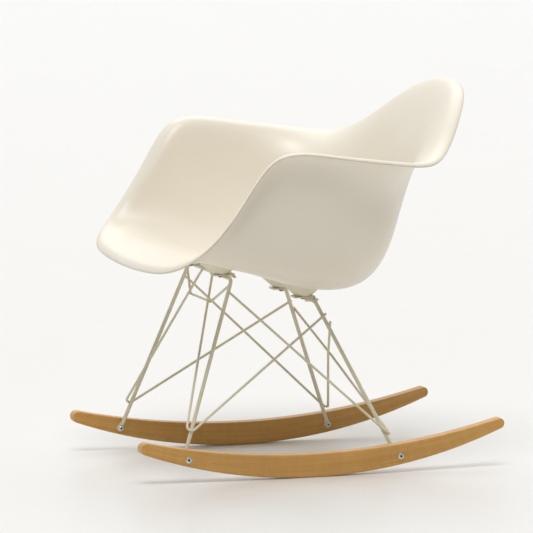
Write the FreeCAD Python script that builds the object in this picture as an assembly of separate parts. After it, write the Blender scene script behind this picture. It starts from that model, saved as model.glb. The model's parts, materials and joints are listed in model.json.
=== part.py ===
import FreeCAD, Part
import math
import os

from FreeCAD import Vector

# Rocking armchair: a moulded shell on a welded wire base with two bent wooden rockers.
# Millimetres, +Z up, floor at Z = 0, the sitter faces -Y, the sitter's left is +X.
# Origin: on the floor, in the middle of the rockers' length and of the chair's width.

os.makedirs("parts", exist_ok=True)

# ---- driving dimensions -------------------------------------------------------------
ROCKER_LENGTH = 690.0
ROCKER_SPACING = 406.0        # between the rockers' mid planes
ROCKER_THICKNESS = 24.0       # across the chair
SOLE_RADIUS = 940.0           # underside of the rocker
SOLE_LOW_Y = -20.0            # where the underside touches the floor
ROCKER_HEIGHT = 42.0          # at the lowest point
TOP_RADIUS = 1390.0           # top edge of the rocker
TOP_LOW_Y = -26.0
TIP_ROUND_SHARE = 0.47        # corner radius at a tip, over the tip's height
EDGE_ROUND = 2.5

LEG_DIAMETER = 7.0
WIRE_DIAMETER = 4.5
WELD_SINK = 0.05              # how far welded bars press into each other
LEG_BEND = 14.0
WIRE_BEND = 8.0
SHALLOW_BEND = 200.0
LUG_DIAMETER = 13.0
LUG_THICKNESS = 3.5
NECK_SPREAD = 1.0             # the flattened neck is this much wider than the leg
BOLT_HEIGHT_SHARE = 0.40      # how far up the rocker the bolts sit
FRONT_BOLT_Y = -256.0
REAR_BOLT_Y = 146.0

BARREL_DIAMETER = 6.4
BORE_RUN_OUT = 10.0           # how far a bore starts outside the wood
BARREL_LENGTH = 20.0
CAP_DIAMETER = 11.0
CAP_HEIGHT = 2.0
SCREW_DIAMETER = 4.0
SCREW_HEAD_DIAMETER = 9.5
SCREW_HEAD_HEIGHT = 4.6
HEAD_EDGE_SHARE = 0.35        # height of a head's straight edge, over the head's height
HEAD_ARC_SHARES = (0.62, 0.84)  # a point on the dome, over the radius and the height
FOOT_SCREW_LENGTH = 14.0
MOUNT_SCREW_LENGTH = 10.0
RECESS_WIDTH = 1.7           # of each arm of the cross recess
RECESS_LENGTH_SHARE = 0.54    # of the head's diameter
RECESS_CENTRE = 3.0
RECESS_DEPTH = 1.5
RECESS_TURN = 30.0

PLATE_THICKNESS = 2.5
PLATE_ROUND = 5.0
PLATE_WIDTH = 32.0            # across the chair
FRONT_PLATE_UNDERSIDE = 355.5
REAR_PLATE_UNDERSIDE = 305.5
FRONT_PLATE_ENDS = (-169.0, -129.0)
REAR_PLATE_ENDS = (-8.0, 32.0)
FRONT_BAR = (104.0, -131.5)   # half length, Y
REAR_BAR = (90.0, 30.0)
MOUNT_BASE_DIAMETER = 29.0
MOUNT_FLARE = 1.15            # widening of the mount's radius per mm of height
MOUNT_REACH = 30.0            # blank height, before the seat is cut out of it
FRONT_MOUNT = (84.0, -153.5)
REAR_MOUNT = (61.0, 12.0)

SIDES = {"left": 1, "right": -1}

# ---- seat shell: the net of control points of its sitting side ----------------------------
# Rings of points run from the lip over the crest of the rim and down to the hub of the seat.
# One row per station of the rim, from the middle of the front to the middle of the back.
# crest: x, y, z.  lip: how far its edge stands out, and how far down.
# Each ring: the share of the plan distance from the hub to the crest, then the height.
HUB_Y = 30.0
HUB_Z = 325.0
HUB_SHARE = 0.06
RING_THICKNESS = (3.0, 3.2, 3.6, 4.0, 4.2, 4.4, 5.0, 5.6, 5.6, 5.6)
FIRST_ARM_STATION = 5
FRONT_SHOULDER = (12.0, -2.0)  # the ring inside the crest: how far in, how far down
ARM_SHOULDER = (27.0, 6.0)
LIP_ROUND = (0.6, 0.25)       # shares of the lip's reach and drop at its rounding
STATIONS = (
    # crest             lip      upper        lower        heel         floor        pan
    ((0, -296, 381), (12, 15), (0.93, 386), (0.79, 395), (0.62, 382), (0.44, 366), (0.24, 345)),
    ((120, -295, 385), (12, 15), (0.93, 388), (0.79, 396), (0.63, 382), (0.45, 370), (0.24, 346)),
    ((212, -288, 392), (12, 14), (0.93, 395), (0.81, 399), (0.66, 384), (0.47, 370), (0.26, 347)),
    ((261, -261, 409), (10, 9), (0.93, 404), (0.83, 400), (0.69, 382), (0.50, 370), (0.28, 346)),
    ((284, -222, 448), (9, 4), (0.92, 431), (0.85, 408), (0.72, 380), (0.53, 366), (0.30, 343)),
    ((291, -176, 514), (9, 2), (0.92, 479), (0.86, 422), (0.74, 377), (0.56, 361), (0.32, 341)),
    ((298, -139, 579), (9, 3), (0.91, 523), (0.85, 445), (0.74, 378), (0.57, 357), (0.33, 339)),
    ((312, -98, 607), (8, 5), (0.88, 534), (0.81, 455), (0.70, 380), (0.58, 349), (0.32, 332)),
    ((312, 0, 590), (8, 6), (0.87, 524), (0.80, 455), (0.69, 381), (0.57, 341), (0.31, 325)),
    ((306, 106, 577), (10, 8), (0.79, 520), (0.77, 450), (0.67, 382), (0.53, 338), (0.28, 320)),
    ((276, 178, 565), (13, 8), (0.69, 518), (0.71, 450), (0.62, 384), (0.48, 335), (0.24, 317)),
    ((214, 224, 588), (14, 7), (0.71, 527), (0.68, 450), (0.59, 382), (0.45, 331), (0.22, 317)),
    ((156, 268, 642), (13, 6), (0.74, 553), (0.62, 450), (0.54, 381), (0.41, 329), (0.18, 318)),
    ((84, 308, 682), (10, 5), (0.70, 572), (0.59, 450), (0.51, 378), (0.39, 325), (0.17, 319)),
    ((0, 317, 691), (9, 5), (0.67, 576), (0.59, 450), (0.51, 376), (0.39, 321), (0.17, 319)),
)


def outward(before, after):
    """Unit vector in plan, square to the line between two neighbours, away from the seat."""
    along = Vector(after[0] - before[0], after[1] - before[1], 0)
    return Vector(along.y, -along.x, 0).normalize()


def station_points(index):
    """Control points of one station, from the lip's edge to the hub."""
    crests = [row[0] for row in STATIONS]
    before = crests[index - 1] if index else (-crests[1][0], crests[1][1])
    last = len(crests) - 1
    after = crests[index + 1] if index < last else (-crests[-2][0], crests[-2][1])
    out = outward(before, after)
    crest = Vector(*crests[index])
    stand_out, drop = STATIONS[index][1]
    down = Vector(0, 0, -1)
    shoulder_in, shoulder_down = ARM_SHOULDER if index >= FIRST_ARM_STATION else FRONT_SHOULDER
    points = [
        crest + out * stand_out + down * drop,
        crest + out * stand_out * LIP_ROUND[0] + down * drop * LIP_ROUND[1],
        crest,
        crest - out * shoulder_in + down * shoulder_down,
    ]
    for share, height in STATIONS[index][2:] + ((HUB_SHARE, HUB_Z),):
        points.append(Vector(crest.x * share, HUB_Y + (crest.y - HUB_Y) * share, height))
    return points


def sitting_side_net():
    """The whole closed net, right-hand stations mirrored from the left-hand ones."""
    half = [station_points(index) for index in range(len(STATIONS))]
    mirrored = [[Vector(-p.x, p.y, p.z) for p in row] for row in reversed(half[1:-1])]
    return half + mirrored


def under_side_net(net):
    """The sitting side's net, moved through the shell's thickness."""
    moved = []
    for i, row in enumerate(net):
        moved_row = []
        for j, point in enumerate(row):
            around = net[(i + 1) % len(net)][j] - net[i - 1][j]
            inward = row[min(j + 1, len(row) - 1)] - row[max(j - 1, 0)]
            normal = around.cross(inward).normalize()
            if j == len(row) - 1:
                normal = Vector(0, 0, 1)
            moved_row.append(point - normal * RING_THICKNESS[j])
        moved.append(moved_row)
    return moved


# ---- shapes ---------------------------------------------------------------------------
def net_surface(net):
    """Smooth cubic surface: closed round the rim, clamped from the lip to the hub."""
    rows = len(net)
    rings = len(net[0])
    surface = Part.BSplineSurface()
    surface.buildFromPolesMultsKnots(
        net,
        [1] * (rows + 1),
        [4] + [1] * (rings - 4) + [4],
        list(range(rows + 1)),
        list(range(rings - 2)),
        True,
        False,
        3,
        3,
    )
    return surface


def ring_edge(surface, at_lip):
    """Boundary curve of the surface at the lip or at the hub."""
    first, last = surface.bounds()[2:]
    return surface.vIso(first if at_lip else last).toShape()


def seat_shell():
    sitting = sitting_side_net()
    inner = net_surface(sitting)
    outer = net_surface(under_side_net(sitting))
    rim = Part.makeRuledSurface(ring_edge(inner, True), ring_edge(outer, True))
    faces = [inner.toShape(), outer.toShape(), rim]
    for surface in (inner, outer):
        faces.append(Part.Face(Part.Wire(ring_edge(surface, False))))
    sewn = Part.makeShell(faces)
    sewn.sewShape()
    solid = Part.makeSolid(Part.Shell(sewn.Faces))
    if solid.Volume < 0:
        solid.reverse()
    return solid


def bent_path(points, radius):
    """Wire through the points with each corner rounded to the radius."""
    corners = [Vector(*p) for p in points]
    edges = []
    start = corners[0]
    for before, corner, after in zip(corners, corners[1:], corners[2:]):
        back = (before - corner).normalize()
        ahead = (after - corner).normalize()
        half_angle = back.getAngle(ahead) / 2
        run = radius / math.tan(half_angle)
        centre = corner + (back + ahead).normalize() * (radius / math.sin(half_angle))
        middle = centre + (corner - centre).normalize() * radius
        arc_start = corner + back * run
        arc_end = corner + ahead * run
        edges.append(Part.makeLine(start, arc_start))
        edges.append(Part.Arc(arc_start, middle, arc_end).toShape())
        start = arc_end
    edges.append(Part.makeLine(start, corners[-1]))
    return Part.Wire(edges)


def rod(points, diameter, radius):
    """Round bar along a bent path."""
    path = bent_path(points, radius)
    start = Vector(*points[0])
    direction = (Vector(*points[1]) - start).normalize()
    section = Part.Wire(Part.makeCircle(diameter / 2, start, direction))
    return path.makePipeShell([section], True, True)


def cylinder(diameter, height, base, direction):
    return Part.makeCylinder(diameter / 2, height, Vector(*base), Vector(*direction))


def mirrored(shape):
    return shape.mirror(Vector(0, 0, 0), Vector(1, 0, 0))


def on_side(shape, side):
    """Shape drawn on the left, for either side."""
    return shape if side == "left" else mirrored(shape)


def export(name, shape):
    shape.exportStep("parts/" + name + ".step")


# ---- rockers ----------------------------------------------------------------------------
def arc_height(radius, distance):
    """Rise of an arc of a radius at a distance from its lowest point."""
    return radius - math.sqrt(radius * radius - distance * distance)


def sole_height(y):
    return arc_height(SOLE_RADIUS, y - SOLE_LOW_Y)


def top_height(y):
    return ROCKER_HEIGHT + arc_height(TOP_RADIUS, y - TOP_LOW_Y)


def bolt_point(y):
    """Place of a bolt on the rocker's mid plane."""
    low = sole_height(y)
    return (ROCKER_SPACING / 2, y, low + (top_height(y) - low) * BOLT_HEIGHT_SHARE)


FRONT_BOLT = bolt_point(FRONT_BOLT_Y)
REAR_BOLT = bolt_point(REAR_BOLT_Y)
BOLTS = {"front": FRONT_BOLT, "rear": REAR_BOLT}
ROCKER_INNER_FACE = (ROCKER_SPACING - ROCKER_THICKNESS) / 2
ROCKER_OUTER_FACE = (ROCKER_SPACING + ROCKER_THICKNESS) / 2


def rocker():
    """Bent wooden runner between the sole's arc and the top's arc, with round tips."""
    half = ROCKER_LENGTH / 2
    x = ROCKER_INNER_FACE
    sole = [Vector(x, y, sole_height(y)) for y in (-half, SOLE_LOW_Y, half)]
    top = [Vector(x, y, top_height(y)) for y in (half, TOP_LOW_Y, -half)]
    outline = Part.Wire([
        Part.Arc(*sole).toShape(),
        Part.makeLine(sole[2], top[0]),
        Part.Arc(*top).toShape(),
        Part.makeLine(top[2], sole[0]),
    ])
    blank = Part.Face(outline).extrude(Vector(ROCKER_THICKNESS, 0, 0))
    for end in (-half, half):
        corners = [e for e in blank.Edges if e.BoundBox.XLength > ROCKER_THICKNESS - 1
                   and abs(e.CenterOfMass.y - end) < 0.1]
        tip_height = top_height(end) - sole_height(end)
        blank = blank.makeFillet(TIP_ROUND_SHARE * tip_height, corners)
    long_edges = [e for e in blank.Edges if e.BoundBox.XLength < 1]
    blank = blank.makeFillet(EDGE_ROUND, long_edges)
    for bolt in BOLTS.values():
        start = (x - BORE_RUN_OUT, bolt[1], bolt[2])
        bore = cylinder(BARREL_DIAMETER, 2 * ROCKER_THICKNESS, start, (1, 0, 0))
        blank = blank.cut(bore)
    return blank


# ---- screws -------------------------------------------------------------------------------
def domed_head(diameter, height):
    """Low domed head standing on Z = 0 with a cross recess in its top."""
    half = diameter / 2
    edge = height * HEAD_EDGE_SHARE
    profile = Part.Wire([
        Part.makeLine(Vector(0, 0, 0), Vector(half, 0, 0)),
        Part.makeLine(Vector(half, 0, 0), Vector(half, 0, edge)),
        Part.Arc(Vector(half, 0, edge),
                 Vector(half * HEAD_ARC_SHARES[0], 0, height * HEAD_ARC_SHARES[1]),
                 Vector(0, 0, height)).toShape(),
        Part.makeLine(Vector(0, 0, height), Vector(0, 0, 0)),
    ])
    head = Part.Face(profile).revolve(Vector(0, 0, 0), Vector(0, 0, 1), 360)
    floor = height - RECESS_DEPTH
    length = diameter * RECESS_LENGTH_SHARE
    for angle in (0, 90):
        slot = Part.makeBox(length, RECESS_WIDTH, height,
                            Vector(-length / 2, -RECESS_WIDTH / 2, floor))
        slot.rotate(Vector(0, 0, 0), Vector(0, 0, 1), angle + RECESS_TURN)
        head = head.cut(slot)
    return head.cut(cylinder(RECESS_CENTRE, height, (0, 0, floor), (0, 0, 1)))


def headed_pin(head_diameter, head_height, diameter, length):
    """Head above Z = 0 and shank below it."""
    shank = cylinder(diameter, length, (0, 0, -length), (0, 0, 1))
    return domed_head(head_diameter, head_height).fuse(shank)


def barrel_nut(bolt):
    """Sleeve in the rocker with a domed cap on the rocker's outer face."""
    nut = headed_pin(CAP_DIAMETER, CAP_HEIGHT, BARREL_DIAMETER, BARREL_LENGTH)
    nut.rotate(Vector(0, 0, 0), Vector(0, 1, 0), 90)
    nut.translate(Vector(ROCKER_OUTER_FACE, bolt[1], bolt[2]))
    return nut.cut(foot_screw(bolt))


def foot_screw(bolt):
    """Screw through the leg's lug into the sleeve."""
    screw = headed_pin(SCREW_HEAD_DIAMETER, SCREW_HEAD_HEIGHT, SCREW_DIAMETER, FOOT_SCREW_LENGTH)
    screw.rotate(Vector(0, 0, 0), Vector(0, 1, 0), -90)
    screw.translate(Vector(ROCKER_INNER_FACE - LUG_THICKNESS, bolt[1], bolt[2]))
    return screw


def mount_screw(place, underside):
    """Screw from below through a plate into a mount."""
    screw = headed_pin(SCREW_HEAD_DIAMETER, SCREW_HEAD_HEIGHT, SCREW_DIAMETER, MOUNT_SCREW_LENGTH)
    screw.rotate(Vector(0, 0, 0), Vector(1, 0, 0), 180)
    screw.translate(Vector(place[0], place[1], underside))
    return screw


# ---- mounts, plates and bars under the seat ------------------------------------------------
def mount_plate(mount, ends, underside):
    """Small steel plate under a mount, with a hole for its screw."""
    front, rear = ends
    plate = Part.makeBox(PLATE_WIDTH, rear - front, PLATE_THICKNESS,
                         Vector(mount[0] - PLATE_WIDTH / 2, front, underside))
    upright = [e for e in plate.Edges if e.BoundBox.ZLength > PLATE_THICKNESS / 2]
    plate = plate.makeFillet(PLATE_ROUND, upright)
    return plate.cut(cylinder(SCREW_DIAMETER, 4 * PLATE_THICKNESS,
                              (mount[0], mount[1], underside - PLATE_THICKNESS), (0, 0, 1)))


def cross_bar(size, underside):
    """Straight thin bar that ties the two plates of one end together."""
    half_length, y = size
    return cylinder(WIRE_DIAMETER, 2 * half_length,
                    (-half_length, y, underside - WIRE_DIAMETER / 2), (1, 0, 0))


def shock_mount(place, underside, shell):
    """Flared block between a plate and the seat, cut to the seat's underside."""
    base = underside + PLATE_THICKNESS
    foot_radius = MOUNT_BASE_DIAMETER / 2
    blank = Part.makeCone(foot_radius, foot_radius + MOUNT_FLARE * MOUNT_REACH, MOUNT_REACH,
                          Vector(place[0], place[1], base))
    pieces = blank.cut(shell).Solids
    block = min(pieces, key=lambda piece: piece.BoundBox.ZMin)
    return block.cut(mount_screw(place, underside))


# ---- wire base ------------------------------------------------------------------------------
LEG_FOOT_X = ROCKER_INNER_FACE - LEG_DIAMETER / 2
CROSS_Z = FRONT_PLATE_UNDERSIDE - LEG_DIAMETER / 2
REAR_RUN_Z = REAR_PLATE_UNDERSIDE - LEG_DIAMETER / 2
FRONT_TOP = (122.0, -144.5, CROSS_Z)
REAR_TOP = (80.0, 27.0, REAR_RUN_Z)
REAR_RUN_END = (70.0, 13.0, REAR_RUN_Z)
WIRE_END = 5.0                # how far a wire's end stands past its weld
FRONT_APEX = 20.0             # from a weld to the corner of the bend beside it
REAR_APEX = 17.0
DIAGONAL_TOP_X = 30.0
DIAGONAL_TOP_DROP = 1.0       # of a wire's top below the cross bar's axis
FRONT_DIAGONAL_WELDS = (89.0, 273.0)
REAR_DIAGONAL_WELDS = (329.0, 67.0, 258.0)
CROSSING_BOW = 0.52           # each of the two crossing wires gives way, in wire diameters
CROSSING_JOINT = 0.3          # where the shallow bend starts, over the way to the corner
TRAPEZOID_WELD = 341.0
TRAPEZOID_CORNER = (58.0, -163.0, 304.0)
WELD_STEP = (LEG_DIAMETER + WIRE_DIAMETER) / 2 - WELD_SINK


def leg_foot(bolt, top):
    """Where the round part of a leg meets its flattened lug."""
    centre = Vector(LEG_FOOT_X, bolt[1], bolt[2])
    towards = (Vector(*top) - centre).normalize()
    return centre + towards * (LUG_DIAMETER / 2)


def leg_end(bolt, top):
    """Flattened round end of a leg, against the rocker's inner face, and its neck."""
    centre = Vector(ROCKER_INNER_FACE - LUG_THICKNESS, bolt[1], bolt[2])
    lug = cylinder(LUG_DIAMETER, LUG_THICKNESS, centre, (1, 0, 0))
    along = leg_foot(bolt, top) - Vector(LEG_FOOT_X, bolt[1], bolt[2])
    width = LEG_DIAMETER + NECK_SPREAD
    neck = Part.makeBox(LUG_THICKNESS, width, along.Length + LEG_DIAMETER / 2,
                        Vector(0, -width / 2, 0))
    neck.rotate(Vector(0, 0, 0), Vector(1, 0, 0), -math.degrees(math.atan2(along.y, along.z)))
    neck.translate(centre)
    return lug.fuse(neck)


def lug_bore(bolt):
    start = (ROCKER_INNER_FACE - 2 * LEG_DIAMETER, bolt[1], bolt[2])
    return cylinder(SCREW_DIAMETER, 4 * LEG_DIAMETER, start, (1, 0, 0))


def front_leg_frame():
    """One bar for both front legs, across under the front plates, with a lug at each foot."""
    foot = leg_foot(FRONT_BOLT, FRONT_TOP)
    far_foot = (-foot.x, foot.y, foot.z)
    far_top = (-FRONT_TOP[0], FRONT_TOP[1], FRONT_TOP[2])
    bar = rod([foot, FRONT_TOP, far_top, far_foot], LEG_DIAMETER, LEG_BEND)
    for side in SIDES:
        bar = bar.fuse(on_side(leg_end(FRONT_BOLT, FRONT_TOP), side))
        bar = bar.cut(on_side(lug_bore(FRONT_BOLT), side))
    return bar


def rear_leg():
    """Leg from the rocker up to a short run under the rear plate."""
    foot = leg_foot(REAR_BOLT, REAR_TOP)
    bar = rod([foot, REAR_TOP, REAR_RUN_END], LEG_DIAMETER, LEG_BEND)
    return bar.fuse(leg_end(REAR_BOLT, REAR_TOP)).cut(lug_bore(REAR_BOLT))


def leg_axis(bolt, top, height):
    """Point of a leg's axis at a height, and the direction of the leg."""
    foot = leg_foot(bolt, top)
    direction = Vector(*top) - foot
    return foot + direction * ((height - foot.z) / direction.z), direction


def welded_line(start, end, start_side, end_side):
    """Straight wire laid against two legs: its two weld points and its direction.

    start and end are (axis point, leg direction); the sides say where the wire lies."""
    along = end[0] - start[0]
    points = []
    for (point, leg_direction), side in ((start, start_side), (end, end_side)):
        step = leg_direction.cross(along).normalize()
        if step.dot(Vector(*side)) < 0:
            step = step * -1
        points.append(point + step * WELD_STEP)
    return points[0], points[1], (points[1] - points[0]).normalize()


def front_diagonal():
    """Wire from the middle of the cross bar, round the front foot, up to the rear leg's top."""
    low = leg_axis(FRONT_BOLT, FRONT_TOP, FRONT_DIAGONAL_WELDS[0])
    high = leg_axis(REAR_BOLT, REAR_TOP, FRONT_DIAGONAL_WELDS[1])
    weld_low, weld_high, along = welded_line(low, high, (1, 0, 0), (1, 0, 0))
    top = (DIAGONAL_TOP_X, FRONT_TOP[1] - WELD_STEP, CROSS_Z - DIAGONAL_TOP_DROP)
    return rod([top, weld_low - along * FRONT_APEX, weld_high + along * WIRE_END],
               WIRE_DIAMETER, WIRE_BEND)


def rear_diagonal(pass_behind):
    """Wire from a front leg's top to the rear foot, then across to the other rear leg."""
    high = leg_axis(FRONT_BOLT, FRONT_TOP, REAR_DIAGONAL_WELDS[0])
    low = leg_axis(REAR_BOLT, REAR_TOP, REAR_DIAGONAL_WELDS[1])
    weld_high, weld_low, along = welded_line(high, low, (0, 1, 0), (1, 0, 0))
    apex = weld_low + along * REAR_APEX
    other, other_direction = leg_axis(REAR_BOLT, REAR_TOP, REAR_DIAGONAL_WELDS[2])
    other = Vector(-other.x, other.y, other.z)
    other_direction = Vector(-other_direction.x, other_direction.y, other_direction.z)
    step = other_direction.cross(other - apex).normalize()
    if step.y < 0:
        step = step * -1
    weld_other = other + step * WELD_STEP
    middle_share = apex.x / (apex.x - weld_other.x)
    bow = WIRE_DIAMETER * (CROSSING_BOW if pass_behind else -CROSSING_BOW)
    middle = apex + (weld_other - apex) * middle_share + Vector(0, bow, 0)
    ahead = (weld_other - middle).normalize()
    joint = middle + (apex - middle) * CROSSING_JOINT
    upper = bent_path([joint, middle, weld_other + ahead * WIRE_END], SHALLOW_BEND)
    lower = bent_path([weld_high, apex, joint], WIRE_BEND)
    path = Part.Wire(lower.Edges + upper.Edges)
    section = Part.Wire(Part.makeCircle(WIRE_DIAMETER / 2, weld_high, along))
    return path.makePipeShell([section], True, True)


def front_trapezoid():
    """Wire between the front legs' tops, dropped in the middle, behind the diagonals."""
    end, direction = leg_axis(FRONT_BOLT, FRONT_TOP, TRAPEZOID_WELD)
    inward = Vector(-1, 0, 0) - direction * (Vector(-1, 0, 0).dot(direction) / direction.dot(direction))
    end = end + inward.normalize() * WELD_STEP
    corner = Vector(*TRAPEZOID_CORNER)
    points = [end, corner, Vector(-corner.x, corner.y, corner.z), Vector(-end.x, end.y, end.z)]
    return rod(points, WIRE_DIAMETER, WIRE_BEND)


# ---- build ------------------------------------------------------------------------------------
SHELL = seat_shell()
export("seat_shell", SHELL)
export("front_cross_bar", cross_bar(FRONT_BAR, FRONT_PLATE_UNDERSIDE))
export("rear_cross_bar", cross_bar(REAR_BAR, REAR_PLATE_UNDERSIDE))
export("front_leg_frame", front_leg_frame())
export("front_trapezoid_wire", front_trapezoid())
MOUNTS = {
    "front": (FRONT_MOUNT, FRONT_PLATE_ENDS, FRONT_PLATE_UNDERSIDE),
    "rear": (REAR_MOUNT, REAR_PLATE_ENDS, REAR_PLATE_UNDERSIDE),
}
for side in SIDES:
    export("rocker_" + side, on_side(rocker(), side))
    export("rear_leg_" + side, on_side(rear_leg(), side))
    export("front_diagonal_wire_" + side, on_side(front_diagonal(), side))
    export("rear_diagonal_wire_" + side, on_side(rear_diagonal(side == "left"), side))
    for end, (place, plate_ends, underside) in MOUNTS.items():
        block = shock_mount(place, underside, SHELL)
        plate = mount_plate(place, plate_ends, underside)
        export(f"mount_plate_{end}_{side}", on_side(plate, side))
        export(f"shock_mount_{end}_{side}", on_side(block, side))
        export(f"mount_screw_{end}_{side}", on_side(mount_screw(place, underside), side))
    for end, bolt in BOLTS.items():
        export(f"barrel_nut_{end}_{side}", on_side(barrel_nut(bolt), side))
        export(f"foot_screw_{end}_{side}", on_side(foot_screw(bolt), side))
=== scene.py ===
import json
import math

import bmesh
import bpy
import numpy as np
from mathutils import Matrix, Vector


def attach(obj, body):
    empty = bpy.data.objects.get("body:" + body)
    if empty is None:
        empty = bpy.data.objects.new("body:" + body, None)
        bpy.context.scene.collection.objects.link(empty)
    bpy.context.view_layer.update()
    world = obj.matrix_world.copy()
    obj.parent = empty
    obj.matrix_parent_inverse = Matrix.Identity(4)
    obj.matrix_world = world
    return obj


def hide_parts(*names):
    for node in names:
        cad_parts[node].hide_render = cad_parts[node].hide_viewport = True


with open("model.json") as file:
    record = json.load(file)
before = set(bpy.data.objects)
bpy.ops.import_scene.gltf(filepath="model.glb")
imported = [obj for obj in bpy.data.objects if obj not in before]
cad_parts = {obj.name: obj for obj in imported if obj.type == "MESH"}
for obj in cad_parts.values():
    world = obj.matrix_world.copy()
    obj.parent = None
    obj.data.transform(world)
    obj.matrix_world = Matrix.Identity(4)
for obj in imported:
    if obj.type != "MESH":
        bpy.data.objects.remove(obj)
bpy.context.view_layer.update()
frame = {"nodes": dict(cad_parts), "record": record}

# Rocking armchair in the CAD's frame, in metres. +Z up, the sitter faces -Y.
# The seat shell is rebuilt as a dense mesh with a rounded rim; the wires, rockers, mounts
# and screws are the CAD's own solids.

NODES = frame["nodes"]
MM = 0.001

# ---- seat shell ---------------------------------------------------------------------------
# Control net of the sitting side, in mm, as in the part's source: one row per station of
# the rim from the middle of the front to the middle of the back. crest; lip (how far out,
# how far down); then rings as (share of the way from the hub to the crest, height).
# Most of the table is a fit program's rounded output and not drawn by hand, which the brief
# rules out. So it is no example to follow; report.md tells how it came about.
HUB_Y = 30.0
HUB_Z = 325.0
HUB_SHARE = 0.06
RING_THICKNESS = (3.0, 3.2, 3.6, 4.0, 4.2, 4.4, 5.0, 5.6, 5.6, 5.6)
FIRST_ARM_STATION = 5
FRONT_SHOULDER = (12.0, -2.0)  # the ring inside the crest: how far in, how far down
ARM_SHOULDER = (27.0, 6.0)
LIP_ROUND = (0.6, 0.25)       # shares of the lip's reach and drop at its rounding
STATIONS = (
    # crest             lip      upper        lower        heel         floor        pan
    ((0, -296, 381), (12, 15), (0.93, 386), (0.79, 395), (0.62, 382), (0.44, 366), (0.24, 345)),
    ((120, -295, 385), (12, 15), (0.93, 388), (0.79, 396), (0.63, 382), (0.45, 370), (0.24, 346)),
    ((212, -288, 392), (12, 14), (0.93, 395), (0.81, 399), (0.66, 384), (0.47, 370), (0.26, 347)),
    ((261, -261, 409), (10, 9), (0.93, 404), (0.83, 400), (0.69, 382), (0.50, 370), (0.28, 346)),
    ((284, -222, 448), (9, 4), (0.92, 431), (0.85, 408), (0.72, 380), (0.53, 366), (0.30, 343)),
    ((291, -176, 514), (9, 2), (0.92, 479), (0.86, 422), (0.74, 377), (0.56, 361), (0.32, 341)),
    ((298, -139, 579), (9, 3), (0.91, 523), (0.85, 445), (0.74, 378), (0.57, 357), (0.33, 339)),
    ((312, -98, 607), (8, 5), (0.88, 534), (0.81, 455), (0.70, 380), (0.58, 349), (0.32, 332)),
    ((312, 0, 590), (8, 6), (0.87, 524), (0.80, 455), (0.69, 381), (0.57, 341), (0.31, 325)),
    ((306, 106, 577), (10, 8), (0.79, 520), (0.77, 450), (0.67, 382), (0.53, 338), (0.28, 320)),
    ((276, 178, 565), (13, 8), (0.69, 518), (0.71, 450), (0.62, 384), (0.48, 335), (0.24, 317)),
    ((214, 224, 588), (14, 7), (0.71, 527), (0.68, 450), (0.59, 382), (0.45, 331), (0.22, 317)),
    ((156, 268, 642), (13, 6), (0.74, 553), (0.62, 450), (0.54, 381), (0.41, 329), (0.18, 318)),
    ((84, 308, 682), (10, 5), (0.70, 572), (0.59, 450), (0.51, 378), (0.39, 325), (0.17, 319)),
    ((0, 317, 691), (9, 5), (0.67, 576), (0.59, 450), (0.51, 376), (0.39, 321), (0.17, 319)),
)
STEPS_AROUND = 12             # mesh columns per station
STEPS_DOWN = 12               # mesh rows per ring
RIM_INSET = 0.11              # where the rounded edge starts, in rings from the lip
RIM_STEPS = 8
HUB_RINGS = 6
HUB_FLAT = (0.035, 0.085)     # the middle of the seat is evened out between these radii
HUB_FIT_REACH = 1.3           # the dish is fitted out to this many of the outer radius
HUB_TIP = 0.02                # size of the last ring at the hub, over the hub's edge
LAST_SAMPLE_GAP = 1e-9        # keeps the last sample inside the last span
RIM_FADE = 0.0026             # how fast the edge's dark line fades, in metres from the edge; the line is painted shade under the lip mixed with edge grime


def station_points(index):
    """Control points of one station, from the lip's edge to the hub."""
    crests = [np.array(row[0], float) for row in STATIONS]
    flip = np.array([-1.0, 1.0, 1.0])
    before = crests[index - 1] if index else crests[1] * flip
    after = crests[index + 1] if index < len(crests) - 1 else crests[-2] * flip
    along = after - before
    out = np.array([along[1], -along[0], 0.0]) / math.hypot(along[0], along[1])
    down = np.array([0.0, 0.0, -1.0])
    crest = crests[index]
    stand_out, drop = STATIONS[index][1]
    shoulder_in, shoulder_down = ARM_SHOULDER if index >= FIRST_ARM_STATION else FRONT_SHOULDER
    points = [
        crest + out * stand_out + down * drop,
        crest + out * stand_out * LIP_ROUND[0] + down * drop * LIP_ROUND[1],
        crest,
        crest - out * shoulder_in + down * shoulder_down,
    ]
    for share, height in STATIONS[index][2:] + ((HUB_SHARE, HUB_Z),):
        points.append(np.array([crest[0] * share, HUB_Y + (crest[1] - HUB_Y) * share, height]))
    return points


def sitting_side_net():
    """The whole closed net, right-hand stations mirrored from the left-hand ones."""
    half = [station_points(index) for index in range(len(STATIONS))]
    mirrored = [[p * [-1, 1, 1] for p in row] for row in reversed(half[1:-1])]
    return np.array(half + mirrored)


def under_side_net(net):
    """The sitting side's net, moved through the shell's thickness."""
    around = np.roll(net, -1, 0) - np.roll(net, 1, 0)
    padded = np.concatenate([net[:, :1], net, net[:, -1:]], 1)
    normal = np.cross(around, padded[:, 2:] - padded[:, :-2])
    normal /= np.linalg.norm(normal, axis=2, keepdims=True)
    normal[:, -1] = (0, 0, 1)
    return net - normal * np.array(RING_THICKNESS)[None, :, None]


def periodic_weights(count, samples):
    """Uniform cubic B-spline weights round a closed row of points."""
    table = np.zeros((len(samples), count))
    for row, sample in enumerate(samples):
        first = math.floor(sample)
        f = sample - first
        weights = ((1 - f) ** 3, 3 * f**3 - 6 * f**2 + 4, -3 * f**3 + 3 * f**2 + 3 * f + 1, f**3)
        for k, weight in enumerate(weights):
            table[row, (first - 1 + k) % count] += weight / 6
    return table


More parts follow.
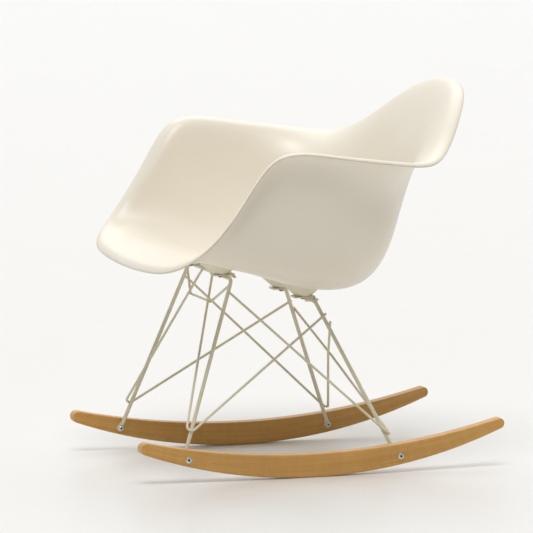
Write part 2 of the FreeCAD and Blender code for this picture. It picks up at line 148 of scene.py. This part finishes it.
def clamped_weights(count, samples):
    """Cubic B-spline weights that start at the first point and end at the last."""
    degree = 3
    last = count - degree
    knots = [0] * (degree + 1) + list(range(1, last)) + [last] * (degree + 1)
    table = np.zeros((len(samples), count))
    for row, sample in enumerate(samples):
        s = min(max(sample, 0), last - LAST_SAMPLE_GAP)
        span = int(np.searchsorted(knots, s, side="right") - 1)
        values = [1.0]
        for d in range(1, degree + 1):
            grown = [0.0] * (d + 1)
            for r, value in enumerate(values):
                left = knots[span - d + 1 + r]
                right = knots[span + 1 + r]
                share = (s - left) / (right - left)
                grown[r] += (1 - share) * value
                grown[r + 1] += share * value
            values = grown
        table[row, span - degree : span + 1] = values
    return table


def even_out_hub(points):
    """Blends the middle of the seat into one smooth dish, so that the hub doesn't show."""
    centre = np.array([0.0, HUB_Y * MM])
    offset = points[..., :2] - centre
    radius = np.linalg.norm(offset, axis=-1)
    x, y = offset[..., 0], offset[..., 1]
    terms = np.stack([np.ones_like(x), x, y, x * x, x * y, y * y], -1)
    ring = (radius > HUB_FLAT[0]) & (radius < HUB_FLAT[1] * HUB_FIT_REACH)
    fit = np.linalg.lstsq(terms[ring], points[ring][:, 2], rcond=None)[0]
    share = np.clip((HUB_FLAT[1] - radius) / (HUB_FLAT[1] - HUB_FLAT[0]), 0, 1)
    share = share * share * (3 - 2 * share)
    points[..., 2] += share * (terms @ fit - points[..., 2])
    return points


def hub_rings(edge):
    """Rings from the hub's edge towards its middle, ending in nearly a point."""
    centre = edge.mean(0)
    shares = [1 - k / HUB_RINGS for k in range(1, HUB_RINGS)] + [HUB_TIP]
    return [centre + (edge - centre) * share for share in shares]


def seat_rings():
    """Closed rings of points over the whole shell, from the hub over the rim to the hub again."""
    sitting = sitting_side_net()
    under = under_side_net(sitting)
    count, rings = sitting.shape[:2]
    around = periodic_weights(count, np.arange(count * STEPS_AROUND) / STEPS_AROUND)
    spans = rings - 3
    rows = np.concatenate([
        np.linspace(RIM_INSET, 1, STEPS_DOWN, endpoint=False),
        np.linspace(1, spans, (spans - 1) * STEPS_DOWN + 1),
    ])
    down = clamped_weights(rings, rows)
    edge_row = clamped_weights(rings, [0.0])
    inner = np.einsum("iu,jv,uvc->jic", around, down, sitting) * MM
    outer = np.einsum("iu,jv,uvc->jic", around, down, under) * MM
    inner_edge = np.einsum("iu,jv,uvc->jic", around, edge_row, sitting)[0] * MM
    outer_edge = np.einsum("iu,jv,uvc->jic", around, edge_row, under)[0] * MM
    inner = np.concatenate([inner, hub_rings(inner[-1])])
    outer = np.concatenate([outer, hub_rings(outer[-1])])
    inner = even_out_hub(inner)
    outer = even_out_hub(outer)
    middle = (inner[0] + outer[0]) / 2
    half = (inner[0] - outer[0]) / 2
    reach = (inner_edge + outer_edge) / 2 - middle
    rim = []
    for k in range(1, RIM_STEPS):
        angle = math.pi * k / RIM_STEPS
        rim.append(middle + half * math.cos(angle) + reach * math.sin(angle))
    return list(inner[::-1]) + rim + list(outer)


def mesh_object(name, points, faces, smooth=True):
    """New object in the scene, with its faces' normals pointing outwards."""
    mesh = bpy.data.meshes.new(name)
    mesh.from_pydata([tuple(p) for p in points], [], faces)
    mesh.validate()
    piece = bpy.data.objects.new(name, mesh)
    bpy.context.scene.collection.objects.link(piece)
    work = bmesh.new()
    work.from_mesh(mesh)
    bmesh.ops.recalc_face_normals(work, faces=work.faces)
    work.to_mesh(mesh)
    work.free()
    mesh.polygons.foreach_set("use_smooth", [smooth] * len(mesh.polygons))
    return piece


def make_shell():
    """The seat shell as one closed mesh, with each point's nearness to the rim's edge."""
    rings = seat_rings()
    columns = len(rings[0])
    points = np.concatenate(rings)
    faces = []
    for j in range(len(rings) - 1):
        for i in range(columns):
            k = (i + 1) % columns
            a, b = j * columns, (j + 1) * columns
            faces.append((a + i, a + k, b + k, b + i))
    last = (len(rings) - 1) * columns
    faces.append(tuple(range(columns)))
    faces.append(tuple(last + i for i in reversed(range(columns))))
    piece = mesh_object("moulded_shell", points, faces)
    lip = len(rings) // 2
    run = np.zeros((len(rings), columns))
    stack = np.array(rings)
    steps = np.linalg.norm(np.diff(stack, axis=0), axis=2)
    run[lip + 1 :] = np.cumsum(steps[lip:], 0)
    run[:lip] = np.cumsum(steps[:lip][::-1], 0)[::-1]
    # nearness to the lip's edge, used for the rim's dark line: painted shade under the lip mixed
    # with edge grime
    tint = np.exp(-run / RIM_FADE).astype(np.float32).ravel()
    piece.data.attributes.new("rim", "FLOAT", "POINT").data.foreach_set("value", tint)
    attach(piece, "root")
    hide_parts("seat_shell")
    return piece


# ---- materials ----------------------------------------------------------------------------
# Colours are linear. A pair is the darker and the lighter tone of one surface.
SHELL_TONES = ((0.842, 0.782, 0.675), (0.86, 0.804, 0.704))
SHELL_SPECK = (0.74, 0.66, 0.52)
# the rim's dark edge line: painted shade under the lip, mixed with some edge grime
SHELL_EDGE_GRIME_AND_SHADE = (0.50, 0.44, 0.34)
MOUNT_TONES = ((0.74, 0.69, 0.545), (0.80, 0.75, 0.61))
MOUNT_SPECK = (0.55, 0.49, 0.38)
STEEL_TONES = ((0.68, 0.64, 0.485), (0.74, 0.70, 0.55))
STEEL_SPECK = (0.42, 0.39, 0.29)
STEEL_SCUFF = (0.75, 0.72, 0.62)
BRIGHT_SCREW_TONES = ((0.66, 0.70, 0.74), (0.84, 0.86, 0.88))
DARK_SCREW_TONES = ((0.09, 0.105, 0.135), (0.20, 0.22, 0.26))
BRIGHT_SCREW_RECESS_SHADE = 0.21    # radius of the dark middle (painted shade of the recess), over the head's diameter
DARK_SCREW_RECESS_SHADE = 0.26
# painted shade of the recess in a screw head's middle
RECESS_SHADE_COLOR = (0.02, 0.022, 0.026)
RECESS_SHADE_CORE = 0.8             # the painted shade in the recess is fully dark inside this share of its radius
STAIN_SHADE = 0.7             # a stain's tone, over the screw's darker tone
MIDDLE = 0.5                  # of a piece, in coordinates that run from 0 to 1 over its box
WOOD_TONES = ((0.555, 0.288, 0.067), (0.67, 0.38, 0.110))
WOOD_STREAK = (0.48, 0.225, 0.046)
WOOD_RIPPLE = (0.70, 0.42, 0.14)
WOOD_CLOUD = (0.48, 0.24, 0.052)
WOOD_PORE = (0.28, 0.12, 0.024)
MIX_SOCKETS = (0, 6, 7)       # a colour Mix node's share, first and second colour


class Nodes:
    """Small helper for building one material's node tree."""

    def __init__(self, name):
        self.material = bpy.data.materials.new(name)
        self.material.use_nodes = True
        self.tree = self.material.node_tree
        self.shader = self.tree.nodes["Principled BSDF"]
        self.place = self.add("ShaderNodeTexCoord").outputs["Object"]

    def add(self, kind, **settings):
        node = self.tree.nodes.new(kind)
        for key, value in settings.items():
            setattr(node, key, value)
        return node

    def link(self, source, target):
        self.tree.links.new(source, target)

    def set(self, node, **values):
        for key, value in values.items():
            socket = node.inputs[key.replace("_", " ")]
            if isinstance(value, bpy.types.NodeSocket):
                self.link(value, socket)
            else:
                socket.default_value = value
        return node

    def math(self, operation, first, second=0.0):
        node = self.add("ShaderNodeMath", operation=operation)
        for socket, value in zip(node.inputs, (first, second)):
            if isinstance(value, bpy.types.NodeSocket):
                self.link(value, socket)
            else:
                socket.default_value = value
        return node.outputs[0]

    def distance(self, first, second):
        """Square root of the sum of the two squares."""
        squares = [self.math("MULTIPLY", value, value) for value in (first, second)]
        return self.math("SQRT", self.math("ADD", *squares))

    def stretched(self, scale, place=None):
        node = self.add("ShaderNodeMapping")
        self.link(place or self.place, node.inputs["Vector"])
        node.inputs["Scale"].default_value = scale
        return node.outputs[0]

    def noise(self, scale, detail=2.0, place=None, rough=0.5, distortion=0.0):
        node = self.add("ShaderNodeTexNoise")
        self.set(node, Vector=place or self.place, Scale=scale, Detail=detail, Roughness=rough,
                 Distortion=distortion)
        return node.outputs["Fac"]

    def remap(self, value, low, high, to_low=0.0, to_high=1.0):
        node = self.add("ShaderNodeMapRange", clamp=True)
        for name, v in (("Value", value), ("From Min", low), ("From Max", high),
                        ("To Min", to_low), ("To Max", to_high)):
            self.set(node, **{name: v})
        return node.outputs[0]

    def mix(self, share, first, second):
        node = self.add("ShaderNodeMix", data_type="RGBA")
        for number, value in zip(MIX_SOCKETS, (share, first, second)):
            socket = node.inputs[number]
            if isinstance(value, bpy.types.NodeSocket):
                self.link(value, socket)
            elif socket.type == "RGBA":
                socket.default_value = (*value, 1.0)
            else:
                socket.default_value = value
        return node.outputs[2]

    def bump(self, height, strength, distance, below=None):
        node = self.add("ShaderNodeBump")
        self.set(node, Height=height, Strength=strength, Distance=distance)
        if below:
            self.link(below, node.inputs["Normal"])
        return node.outputs[0]

    def finish(self, color, roughness, normal, **constants):
        self.set(self.shader, Normal=normal)
        self.link(color, self.shader.inputs["Base Color"])
        self.link(roughness, self.shader.inputs["Roughness"])
        for key, value in constants.items():
            self.shader.inputs[key.replace("_", " ")].default_value = value
        return self.material


def shell_plastic():
    m = Nodes("shell_plastic")
    cloud = m.noise(5.0, 3.0)
    body = m.mix(m.remap(cloud, 0.35, 0.65), *SHELL_TONES)
    speck = m.remap(m.noise(650.0, 2.0), 0.56, 0.72, 0.0, 0.10)
    body = m.mix(speck, body, SHELL_SPECK)
    # painted shade: a dark line along the rim's edge stands for the shade under the lip, mixed
    # with some edge grime
    rim = m.add("ShaderNodeAttribute", attribute_name="rim").outputs["Fac"]
    edge = m.math("MULTIPLY", rim, m.remap(m.noise(38.0, 4.0), 0.40, 0.70, 0.55, 0.85))
    body = m.mix(edge, body, SHELL_EDGE_GRIME_AND_SHADE)
    grain = m.noise(1400.0, 2.0)
    peel = m.noise(190.0, 2.0)
    normal = m.bump(grain, 0.10, 0.0003)
    normal = m.bump(peel, 0.08, 0.0006, normal)
    rough = m.remap(m.noise(26.0, 5.0), 0.3, 0.7, 0.36, 0.47)
    return m.finish(body, rough, normal, IOR=1.49, Coat_Weight=0.3, Coat_Roughness=0.32)


def mount_plastic():
    m = Nodes("mount_plastic")
    body = m.mix(m.remap(m.noise(60.0, 3.0), 0.35, 0.65), *MOUNT_TONES)
    body = m.mix(m.remap(m.noise(900.0), 0.6, 0.75, 0.0, 0.25), body, MOUNT_SPECK)
    normal = m.bump(m.noise(1100.0, 3.0), 0.22, 0.0004)
    rough = m.remap(m.noise(80.0, 3.0), 0.3, 0.7, 0.50, 0.66)
    return m.finish(body, rough, normal, IOR=1.5)


def base_steel():
    m = Nodes("base_steel")
    body = m.mix(m.remap(m.noise(22.0, 3.0), 0.35, 0.65), *STEEL_TONES)
    speck = m.remap(m.noise(1500.0, 1.0), 0.58, 0.75, 0.0, 0.35)
    body = m.mix(speck, body, STEEL_SPECK)
    scuff = m.remap(m.noise(140.0, 6.0, rough=0.7), 0.66, 0.74, 0.0, 0.5)
    body = m.mix(scuff, body, STEEL_SCUFF)
    normal = m.bump(m.noise(420.0, 2.0), 0.20, 0.0005)
    normal = m.bump(m.noise(1900.0, 1.0), 0.10, 0.0002, normal)
    rough = m.remap(m.noise(300.0, 3.0), 0.3, 0.7, 0.30, 0.46)
    return m.finish(body, rough, normal, IOR=1.5, Coat_Weight=0.15, Coat_Roughness=0.22)


def screw_steel(name, axis, tones, recess):
    """Turned steel, with painted shade that makes it nearly black in the recess in the middle of
    the head.

    axis is the screw's own; recess is the radius of the dark middle of painted shade, over the
    head's diameter."""
    m = Nodes(name)
    generated = m.add("ShaderNodeTexCoord").outputs["Generated"]
    split = m.add("ShaderNodeSeparateXYZ")
    m.link(generated, split.inputs[0])
    offsets = [m.math("SUBTRACT", split.outputs[letter], MIDDLE)
               for letter in "XYZ".replace(axis, "")]
    radius = m.distance(*offsets)
    tone = m.remap(m.noise(170.0, 3.0), 0.35, 0.65)
    body = m.mix(tone, *tones)
    stain = m.remap(m.noise(700.0, 5.0, rough=0.65), 0.55, 0.72, 0.0, 0.4)
    body = m.mix(stain, body, tuple(STAIN_SHADE * c for c in tones[0]))
    # painted shade: the recess in the head's middle is painted nearly black
    recess_shade = m.remap(radius, recess * RECESS_SHADE_CORE, recess, 1.0, 0.0)
    body = m.mix(recess_shade, body, RECESS_SHADE_COLOR)
    turned = m.noise(1.0, 2.0, place=m.stretched((1500.0, 1500.0, 5200.0)))
    normal = m.bump(turned, 0.18, 0.00015)
    rough = m.remap(m.noise(900.0, 4.0), 0.3, 0.7, 0.26, 0.46)
    return m.finish(body, rough, normal, Metallic=1.0)


# The grain follows the rocker's bend: places are turned into (across, along, through).
GRAIN_CENTRE_Y = -0.026
GRAIN_CENTRE_Z = 1.13


def rocker_wood():
    m = Nodes("rocker_wood")
    split = m.add("ShaderNodeSeparateXYZ")
    m.link(m.place, split.inputs[0])
    across = split.outputs["X"]
    back = m.math("SUBTRACT", split.outputs["Y"], GRAIN_CENTRE_Y)
    rise = m.math("SUBTRACT", GRAIN_CENTRE_Z, split.outputs["Z"])
    along = m.math("MULTIPLY", m.math("ARCTAN2", back, rise), GRAIN_CENTRE_Z)
    through = m.distance(back, rise)
    joined = m.add("ShaderNodeCombineXYZ")
    for socket, value in zip(joined.inputs, (across, along, through)):
        m.link(value, socket)
    bent = joined.outputs[0]
    bands = m.noise(1.0, 3.0, place=m.stretched((48.0, 2.2, 95.0), bent), distortion=0.6)
    streaks = m.noise(1.0, 4.0, place=m.stretched((380.0, 9.0, 520.0), bent), rough=0.6)
    pores = m.noise(1.0, 2.0, place=m.stretched((1500.0, 160.0, 1900.0), bent))
    ripple = m.noise(1.0, 2.0, place=m.stretched((9.0, 85.0, 14.0), bent))
    cloud = m.noise(1.0, 2.0, place=m.stretched((14.0, 4.5, 20.0), bent))
    body = m.mix(m.remap(bands, 0.32, 0.68), *WOOD_TONES)
    body = m.mix(m.remap(streaks, 0.40, 0.66, 0.0, 0.5), body, WOOD_STREAK)
    body = m.mix(m.remap(ripple, 0.42, 0.66, 0.0, 0.22), body, WOOD_RIPPLE)
    body = m.mix(m.remap(cloud, 0.40, 0.70, 0.0, 0.35), body, WOOD_CLOUD)
    body = m.mix(m.remap(pores, 0.60, 0.72, 0.0, 0.55), body, WOOD_PORE)
    normal = m.bump(streaks, 0.10, 0.0004)
    normal = m.bump(pores, 0.12, 0.0003, normal)
    rough = m.remap(streaks, 0.3, 0.7, 0.40, 0.54)
    return m.finish(body, rough, normal, IOR=1.5, Coat_Weight=0.18, Coat_Roughness=0.3)


# ---- build --------------------------------------------------------------------------------
def paint(piece, material):
    piece.data.materials.clear()
    piece.data.materials.append(material)


SHELL_PLASTIC = shell_plastic()
MATERIALS = {
    "base_steel": base_steel(),
    "mount_plastic": mount_plastic(),
    "screw_steel": screw_steel("screw_steel", "X", BRIGHT_SCREW_TONES, BRIGHT_SCREW_RECESS_SHADE),
    "rocker_wood": rocker_wood(),
}
DARK_STEEL = screw_steel("dark_screw_steel", "Z", DARK_SCREW_TONES, DARK_SCREW_RECESS_SHADE)
for part in frame["record"]["subparts"]:
    node = part["node"]
    if node.startswith("mount_screw"):
        paint(NODES[node], DARK_STEEL)
    elif node != "seat_shell":
        paint(NODES[node], MATERIALS[part["material_slot"]])
paint(make_shell(), SHELL_PLASTIC)


# ---- floor, light and camera ----------------------------------------------------------------
def view_direction(azimuth, elevation):
    """Unit vector from the object towards an azimuth and elevation in degrees."""
    a, e = math.radians(azimuth), math.radians(elevation)
    return Vector((math.sin(a) * math.cos(e), -math.cos(a) * math.cos(e), math.sin(e)))


FLOOR_HALF = 40.0
FLOOR_TOP = -0.0002           # just below the rockers
# painted shade round the chair: the darker first tone lies near it, the lighter second far off
FLOOR_SHADE_TONES = ((0.765, 0.757, 0.745), (0.81, 0.81, 0.808))
FLOOR_NEAR = 0.6              # the floor goes from the first tone to the second in between
FLOOR_FAR = 9.0
SWEEP_AZIMUTH = 251.0         # the bright side of the studio, and how bright it gets
SWEEP_ELEVATION = 10.0
SWEEP_RAMP = (-0.35, 0.85)
SWEEP_LIGHT = (0.27, 0.89)
DIM_COLOR = (1.0, 0.945, 0.78)
BRIGHT_COLOR = (1.0, 1.0, 0.998)
# Azimuth and elevation in degrees, strength, spread in degrees, colour.
KEY_SUN = (64, 66, 1.8, 34, (0.97, 0.98, 1.0))
BACK_SUN = (252, 50, 0.65, 45, (1.0, 1.0, 1.0))


def floor_material():
    m = Nodes("studio_floor")
    distance = m.add("ShaderNodeVectorMath", operation="LENGTH")
    m.link(m.place, distance.inputs[0])
    # painted shade: the floor is darker near the chair and lighter further off
    out_of_shade = m.remap(distance.outputs["Value"], FLOOR_NEAR, FLOOR_FAR)
    body = m.mix(out_of_shade, *FLOOR_SHADE_TONES)
    normal = m.bump(m.noise(60.0, 3.0), 0.02, 0.001)
    rough = m.remap(m.noise(4.0, 2.0), 0.3, 0.7, 0.28, 0.34)
    return m.finish(body, rough, normal, Specular_IOR_Level=0.45)


def make_stage():
    signs = ((-1, -1), (1, -1), (1, 1), (-1, 1))
    corners = [(x * FLOOR_HALF, y * FLOOR_HALF, FLOOR_TOP) for x, y in signs]
    floor = mesh_object("studio_floor", corners, [(0, 1, 2, 3)], smooth=False)
    paint(floor, floor_material())
    world = bpy.data.worlds.new("studio")
    bpy.context.scene.world = world
    world.use_nodes = True
    tree = world.node_tree
    backdrop = tree.nodes["Background"]
    place = tree.nodes.new("ShaderNodeTexCoord")
    towards = tree.nodes.new("ShaderNodeVectorMath")
    towards.operation = "DOT_PRODUCT"
    towards.inputs[1].default_value = view_direction(SWEEP_AZIMUTH, SWEEP_ELEVATION)
    strength = tree.nodes.new("ShaderNodeMapRange")
    strength.interpolation_type = "SMOOTHSTEP"
    for name, value in zip(("From Min", "From Max", "To Min", "To Max"), SWEEP_RAMP + SWEEP_LIGHT):
        strength.inputs[name].default_value = value
    tree.links.new(place.outputs["Generated"], towards.inputs[0])
    tree.links.new(towards.outputs["Value"], strength.inputs["Value"])
    tree.links.new(strength.outputs[0], backdrop.inputs["Strength"])
    tint = tree.nodes.new("ShaderNodeMix")
    tint.data_type = "RGBA"
    share_socket, dim_socket, bright_socket = [tint.inputs[number] for number in MIX_SOCKETS]
    dim_socket.default_value = (*DIM_COLOR, 1.0)
    bright_socket.default_value = (*BRIGHT_COLOR, 1.0)
    share = tree.nodes.new("ShaderNodeMapRange")
    share.inputs["From Min"].default_value = SWEEP_LIGHT[0]
    share.inputs["From Max"].default_value = SWEEP_LIGHT[1]
    tree.links.new(strength.outputs[0], share.inputs["Value"])
    tree.links.new(share.outputs[0], share_socket)
    tree.links.new(tint.outputs[2], backdrop.inputs["Color"])


def sun(name, azimuth, elevation, strength, spread, color):
    """Soft light from far away. Azimuth and elevation say where it comes from, as for a view."""
    lamp = bpy.data.lights.new(name, "SUN")
    lamp.energy = strength
    lamp.angle = math.radians(spread)
    lamp.color = color
    holder = bpy.data.objects.new(name, lamp)
    bpy.context.scene.collection.objects.link(holder)
    holder.rotation_euler = view_direction(azimuth, elevation).to_track_quat("Z", "Y").to_euler()


VIEW_AZIMUTH = 71.3
VIEW_ELEVATION = 7.5
VIEW_DISTANCE = 14.0
VIEW_TARGET = Vector((0.0, -0.037, 0.3555))
LENS = 521.2
SENSOR = 36.0
CLIP_RANGE = (0.1, 200.0)


def make_camera():
    data = bpy.data.cameras.new("camera")
    data.lens = LENS
    data.sensor_width = SENSOR
    data.clip_start, data.clip_end = CLIP_RANGE
    camera = bpy.data.objects.new("camera", data)
    bpy.context.scene.collection.objects.link(camera)
    back = view_direction(VIEW_AZIMUTH, VIEW_ELEVATION)
    camera.location = VIEW_TARGET + back * VIEW_DISTANCE
    camera.rotation_euler = (-back).to_track_quat("-Z", "Y").to_euler()
    bpy.context.scene.camera = camera


make_stage()
sun("key", *KEY_SUN)
sun("back", *BACK_SUN)
make_camera()
bpy.context.scene.view_settings.view_transform = "Standard"
